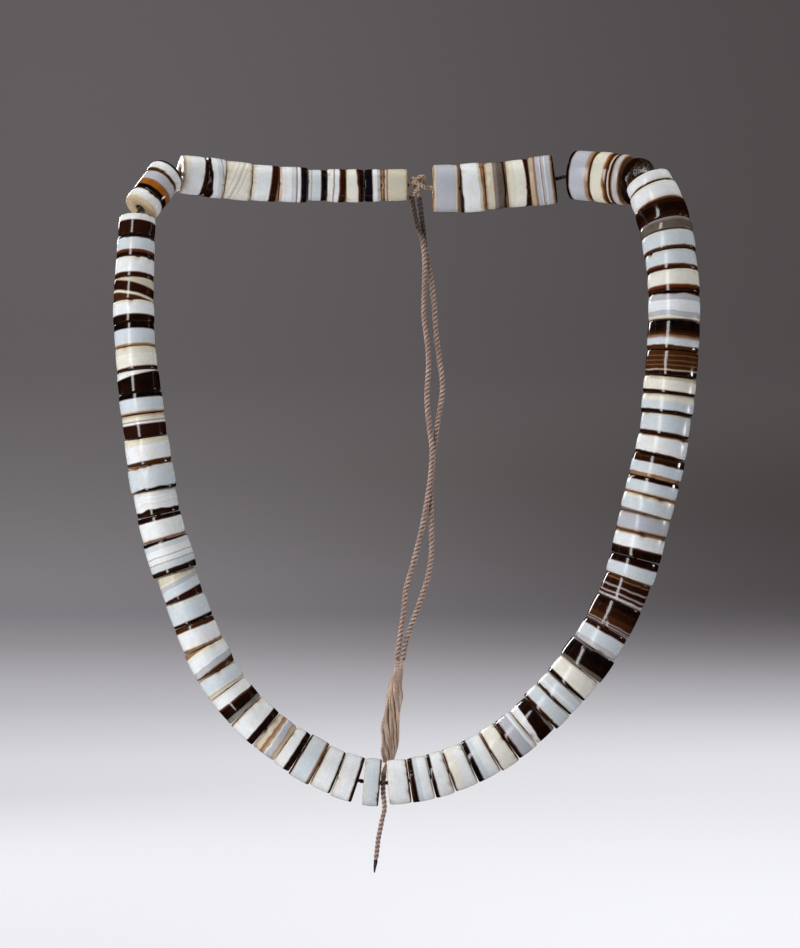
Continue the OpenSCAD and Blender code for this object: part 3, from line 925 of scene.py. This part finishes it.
codes = [c for k in "abcd" for c in r.parts("stones_" + k)][:most_bands]
ends = [e for k in "abcd" for e in r.parts("ends_" + k)][:most_bands - 1]
colour = stone(codes[0])
border_gaps = []
for end, code in zip(ends, codes[1:]):
    beyond = r.sum("SUBTRACT", layer, end)
    share = r.sum("MULTIPLY_ADD", beyond, border_slope, 0.5, clamp=True)
    colour = r.mix(share, colour, stone(code))
    border_gaps.append(r.sum("ABSOLUTE", beyond))
border_gap = border_gaps[0]
for gap in border_gaps[1:]:
    border_gap = r.sum("MINIMUM", border_gap, gap)
pale = r.between(r.node("ShaderNodeRGBToBW", {0: colour}).outputs[0], 0.12, 0.5)
deep = r.sum("SUBTRACT", 1.0, pale)

# %% [markdown]
# ## Fine lines, amber borders and clouds
# Within a band the stone still has hair-fine layers. Where a pale band turns into a deep
# one, light sinks in and comes back amber. Clouds of another tint drift through both.
# Noise in one dimension, read along the layer, gives lines that follow the bands.

# %% Draw the lines and the clouds
tints = {name: linear(colour) for name, colour in {
    "line in pale": (158, 156, 144), "line in deep": (96, 62, 40),
    "amber border": (142, 74, 32), "cloud in pale": (206, 190, 158),
    "cloud in deep": (56, 22, 10), "milky end": (206, 192, 166),
    "stain": (160, 116, 72), "painted_hole_shade": (64, 42, 28), "chip in deep": (52, 36, 28),
    "chip in pale": (178, 156, 124)}.items()}

stripes = r.noise(r.sum("ADD", layer, seed), 2.6, 3.0, "1D")
colour = r.vector("SCALE", colour, r.between(stripes, 0.3, 0.7, 0.965, 1.02))
lines = r.noise(r.sum("ADD", layer, r.sum("MULTIPLY", seed, 3.0)), 3.4, 1.0, "1D")
lines = r.sum("MULTIPLY", r.between(lines, 0.56, 0.66), fine)
colour = r.mix(r.sum("MULTIPLY", lines, r.sum("MULTIPLY", pale, 0.45)), colour,
               tints["line in pale"])
colour = r.mix(r.sum("MULTIPLY", lines, r.sum("MULTIPLY", deep, 0.3)), colour,
               tints["line in deep"])

halfway = r.sum("MULTIPLY", pale, r.sum("MULTIPLY", deep, 2.6))
fringe = r.sum("MULTIPLY", halfway, r.between(border_gap, 0.6, 0.1), clamp=True)
colour = r.mix(fringe, colour, tints["amber border"])

cloud = r.between(r.noise(place, 0.45, 3.0), 0.42, 0.68)
colour = r.mix(r.sum("MULTIPLY", cloud, r.sum("MULTIPLY", pale, 0.22)), colour,
               tints["cloud in pale"])
colour = r.mix(r.sum("MULTIPLY", cloud, r.sum("MULTIPLY", deep, 0.2)), colour,
               tints["cloud in deep"])

# %% [markdown]
# ## Wear, stains and painted shade in the holes
# Long wear has left tan stains near the ends that the chart names, and a thin line of
# them on every rim. Pale stone turns milky at its ends, the holes are darkened as painted
# shade, and the chips show a rough broken face.

# %% Stain the ends and the chips, and paint shade into the holes
stain_reach, rim_reach = 1.5, 0.45
spots = r.noise(place, 1.1, 4.0, rough=0.65)
to_far_end = r.sum("SUBTRACT", length, z)
near = r.sum("MAXIMUM",
             r.sum("MULTIPLY", r.between(z, stain_reach, 0.0), stain_a),
             r.sum("MULTIPLY", r.between(to_far_end, stain_reach, 0.0), stain_b))
rim = r.sum("MAXIMUM", r.between(z, rim_reach, 0.0),
            r.between(to_far_end, rim_reach, 0.0))
near = r.sum("MAXIMUM", near, r.sum("MULTIPLY", rim, 0.5))
stain = r.between(r.sum("ADD", spots, r.sum("MULTIPLY", near, 0.5)), 0.56, 0.82)
stain = r.sum("MULTIPLY", stain, near)

milky = r.between(r.sum("MINIMUM", z, to_far_end), 1.5, 0.1)
milky = r.sum("MULTIPLY", milky, r.sum("MULTIPLY", pale, 0.4))
colour = r.mix(milky, colour, tints["milky end"])
seen = r.sum("MULTIPLY_ADD", pale, 0.6, 0.2)
colour = r.mix(r.sum("MULTIPLY", stain, seen), colour, tints["stain"])
# Painted shade: the bore of each hole and the end faces close round it are darkened.
off_axis = r.vector("LENGTH", r.vector("MULTIPLY", grain, (1, 1, 0)))
painted_hole_shade = r.sum("MULTIPLY", r.between(off_axis, 2.0, 1.35), 0.75)
colour = r.mix(painted_hole_shade, colour, tints["painted_hole_shade"])
broken = r.mix(pale, tints["chip in deep"], tints["chip in pale"])
colour = r.mix(r.sum("MULTIPLY", chip, 0.6), colour, broken)

# %% [markdown]
# ## The polish
# Agate is hard and takes a glassy polish, a little duller where it is pale or stained
# and rough in the chips. Light spreads under the surface of the pale bands.

# %% Polish the stone
rough = r.sum("ADD", r.sum("MULTIPLY", r.sum("MAXIMUM", stain, pale), 0.14),
              r.between(spots, 0.2, 0.8, 0.08, 0.16))
rough = r.sum("MAXIMUM", rough, r.sum("MULTIPLY", chip, 0.5))
dimple = r.bump(r.noise(place, 0.6, 1.0), 0.15, 0.12 * MM)
pits = r.bump(r.sum("MULTIPLY", r.noise(place, 5.0, 3.0),
                    r.sum("MAXIMUM", stain, chip)), 0.5, 0.12 * MM, dimple)
r.shader.inputs["IOR"].default_value = 1.54
r.shader.inputs["Subsurface Radius"].default_value = (1.0, 0.85, 0.7)
r.shader.inputs["Subsurface Scale"].default_value = 1.2 * MM
agate = r.finish(Base_Color=colour, Roughness=rough, Normal=pits,
                 Subsurface_Weight=r.sum("MULTIPLY", pale, 0.35))
for piece in (agate_left, agate_right):
    piece.data.materials.append(agate)
print("agate nodes:", len(agate.node_tree.nodes))

# %% [markdown]
# ## Twisted fibre
# The cord is hard-twisted plant fibre. The UV map of the tubes runs along each ply, so
# noise stretched along it gives the single fibres and long streaks, and the grooves
# between the plies are darkened as painted shade. Four mixes of the one cord differ in
# tone: the hanging cord, darker near the knot; the knot and the loose yarns, made paler
# as painted light; and the thread inside the discs, made much darker as painted shade.

# %% Spin the fibre
# The first colour is painted shade for the grooves between the plies; the second darkens
# the cord near the knot.
painted_groove_shade, tone_near_knot = linear((38, 26, 20)), linear((48, 35, 30))
darkening_from, darkening_full = -0.021, -0.013


def fibre(name, light, shade, darker_near_knot):
    r = Recipe(name)
    uv = r.node("ShaderNodeUVMap").outputs[0]
    along, around, _ = r.node("ShaderNodeSeparateXYZ", {0: uv}).outputs
    spot = r.node("ShaderNodeTexCoord").outputs["Object"]
    lay = r.node("ShaderNodeCombineXYZ", {0: r.sum("MULTIPLY", along, 60.0),
                                          1: r.sum("MULTIPLY", around, 9.0)}).outputs[0]
    hairs = r.noise(lay, 2.0, 3.0)
    patch = r.noise(spot, 260.0, 3.0)
    depth = r.attribute("groove").outputs["Fac"]
    colour = r.mix(r.between(hairs, 0.3, 0.7), linear(shade), linear(light))
    # Painted shade: points near the core line, down in the grooves between the plies, are
    # darkened.
    colour = r.mix(r.between(depth, 1.0, 0.5, 0.0, 0.92), colour, painted_groove_shade)
    colour = r.mix(r.between(patch, 0.4, 0.75, 0.0, 0.45), colour, linear(shade))
    drawn_out = r.vector("MULTIPLY", spot, (1, 1, 0.12))
    streak = r.noise(drawn_out, 900.0, 1.0)
    colour = r.mix(r.between(streak, 0.42, 0.6, 0.0, 0.65), colour, linear(shade))
    # The cord is darker near the knot: above a set height it is mixed towards a darker
    # tone.
    if darker_near_knot:
        height = r.node("ShaderNodeSeparateXYZ", {0: spot}).outputs[2]
        near_knot_share = r.between(height, darkening_from, darkening_full, 0.0, 0.88)
        colour = r.mix(near_knot_share, colour, tone_near_knot)
    r.shader.inputs["Sheen Weight"].default_value = 0.25
    r.shader.inputs["Sheen Roughness"].default_value = 0.5
    r.shader.inputs["Specular IOR Level"].default_value = 0.3
    return r.finish(Base_Color=colour, Roughness=r.between(hairs, 0.2, 0.8, 0.6, 0.85),
                    Normal=r.bump(hairs, 0.5, 0.08 * MM))


cord_fibre = fibre("cord_fibre", (216, 190, 174), (142, 114, 102), True)
# Painted light: the knot and the loose yarns are the same cord as the tails, made paler
# as painted light.
knot_fibre_painted_light = fibre("knot_fibre_painted_light", (250, 232, 208), (150, 122, 100), False)
loose_fibre_painted_light = fibre("loose_fibre_painted_light", (240, 218, 200), (156, 126, 108), False)
# Painted shade: the thread is the same cord, made much darker because it shows only in
# the shade between the discs.
thread_fibre_painted_shade = fibre("thread_fibre_painted_shade", (92, 66, 48), (52, 34, 26), False)
for piece in (tail_left, tail_right, tail_end):
    piece.data.materials.append(cord_fibre)
knot.data.materials.append(knot_fibre_painted_light)
fray.data.materials.append(loose_fibre_painted_light)
thread.data.materials.append(thread_fibre_painted_shade)
print("fibres:", [m.name for m in (cord_fibre, knot_fibre_painted_light, loose_fibre_painted_light, thread_fibre_painted_shade)])

# %% [markdown]
# ## Hard wax
# Wax that has taken up dirt for years is nearly black, with a dull shine on its lumps.
# One noise drives the colour, the shine and the bumps, so they agree.

# %% Harden the wax
r = Recipe("hard_wax")
spot = r.node("ShaderNodeTexCoord").outputs["Object"]
lumps = r.noise(spot, 900.0, 3.0)
colour = r.mix(r.between(lumps, 0.4, 0.7), linear((24, 22, 22)), linear((58, 52, 48)))
hard_wax = r.finish(Base_Color=colour, Normal=r.bump(lumps, 0.4, 0.1 * MM),
                    Roughness=r.between(lumps, 0.3, 0.7, 0.28, 0.5))
wax_point.data.materials.append(hard_wax)
print("wax nodes:", len(hard_wax.node_tree.nodes))

# %% [markdown]
# ## The paper
# Paper that sweeps up from a floor gives a background without a line. Its profile is one
# row of points, pulled sideways in a single extrusion.

# %% Sweep the paper
floor_z = -0.30
half_width = 3.0
profile = [(-3.0, 0), (1.2, 0), (1.7, 0.02), (2.1, 0.14), (2.4, 0.36), (2.55, 0.7),
           (2.6, 1.2), (2.6, 3.0)]
sheet = bmesh.new()
left = [sheet.verts.new((-half_width, y, floor_z + up)) for y, up in profile]
spine = [sheet.edges.new(pair) for pair in zip(left, left[1:])]
moved = bmesh.ops.extrude_edge_only(sheet, edges=spine)["geom"]
bmesh.ops.translate(sheet, vec=(2 * half_width, 0, 0),
                    verts=[v for v in moved if isinstance(v, bmesh.types.BMVert)])
bmesh.ops.recalc_face_normals(sheet, faces=sheet.faces)
paper = object_from(sheet, "studio_paper")
print("paper in metres:", 2 * half_width, "wide,", profile[-1][1], "high")

# %% [markdown]
# ## Tones of the paper
# The paper is brightest in front and darkens upwards and to the right. Lamps alone give
# that only roughly, so a grade is painted on the paper too. It is laid out in the paper's
# own coordinates and stays where it is from any side: its rows fan out from one fixed
# spot in front, by distance down and across, over distance away from that spot.

# %% Grade the paper
r = Recipe("studio_paper")
spot = r.node("ShaderNodeTexCoord").outputs["Object"]
x, y, z = r.node("ShaderNodeSeparateXYZ", {0: spot}).outputs
away = r.sum("SUBTRACT", y, eye_y)
drop = r.sum("DIVIDE", r.sum("SUBTRACT", eye_z, z), away)
side = r.sum("DIVIDE", r.sum("SUBTRACT", x, eye_x), away)
grade = r.node("ShaderNodeValToRGB",
               {0: r.sum("DIVIDE", r.sum("ADD", drop, 0.03), 0.18)})
tones = [(0.00, (110, 105, 106)), (0.17, (123, 119, 119)), (0.27, (135, 131, 133)),
         (0.34, (142, 138, 142)), (0.40, (142, 139, 144)), (0.45, (162, 158, 162)),
         (0.51, (192, 190, 195)), (0.58, (214, 213, 218)), (0.64, (226, 225, 230)),
         (0.68, (225, 225, 229)), (0.73, (221, 221, 225)), (0.82, (219, 219, 223)),
         (1.00, (219, 219, 222))]
while len(grade.color_ramp.elements) < len(tones):
    grade.color_ramp.elements.new(0.5)
for stop, (at, tone) in zip(grade.color_ramp.elements, tones):
    stop.position = at
    stop.color = linear(tone)
dim_right = r.sum("MULTIPLY", r.between(side, -0.14, 0.14),
                  r.sum("MULTIPLY", r.between(drop, -0.03, 0.015, 0.47, 0.73),
                        r.between(drop, 0.082, 0.031)))
dim_left = r.sum("MULTIPLY", r.between(side, 0.14, -0.14),
                 r.between(drop, 0.095, 0.13, 0.0, 0.12))
graded = r.mix(r.sum("ADD", dim_right, dim_left), grade.outputs[0],
               linear((32, 18, 10)))
paper.data.materials.append(r.finish(Base_Color=graded, Roughness=0.9,
                                     Specular_IOR_Level=0.0))
print("tones of the paper:", len(tones))

# %% [markdown]
# ## The lamps
# A tall strip far off at the left draws the bright line on each upright disc, a small
# strip behind draws their left edges, and a small card at the right adds a spark. Soft
# lamps at the left, above and over the floor fill the rest. They and the air are hidden
# from mirror rays, so that the polished dark stones stay dark.

# %% Hang the lamps
def lamp(name, place, aim, size, power, mirrored=True):
    data = bpy.data.lights.new(name, "AREA")
    data.shape = "RECTANGLE"
    data.size, data.size_y = size
    data.energy = power
    made = in_scene(name, data)
    made.location = place
    towards = Vector(aim) - Vector(place)
    made.rotation_euler = towards.to_track_quat("-Z", "Y").to_euler()
    made.visible_glossy = mirrored


middle = (0, -0.02, -0.09)
lamp("strip_left", (-1.5, -2.6, 0.15), middle, (0.6, 3.8), 62)
lamp("soft_left", (-0.5, -0.35, -0.14), middle, (0.4, 0.4), 2.1, False)
lamp("strip_behind", (-0.47, 0.79, 0.25), middle, (0.16, 0.35), 2.0)
lamp("card_right", (0.68, 0.10, -0.15), middle, (0.14, 0.06), 0.5)
lamp("soft_above", (-0.2, 0.2, 1.3), middle, (1.4, 1.2), 4.8, False)
lamp("soft_floor", (0.7, 0.6, 1.7), (0.7, 1.2, floor_z), (2.5, 1.5), 47.5, False)

# %% Fill the air
world = bpy.data.worlds.new("studio_air")
bpy.context.scene.world = world
world.use_nodes = True
air = world.node_tree.nodes["Background"]
air.inputs["Color"].default_value = (0.9, 0.93, 1.0, 1)
air.inputs["Strength"].default_value = 0.14
world.cycles_visibility.glossy = False
paper.visible_glossy = False
bpy.context.scene.view_settings.view_transform = "Standard"
print("lamps:", len(bpy.data.lights))
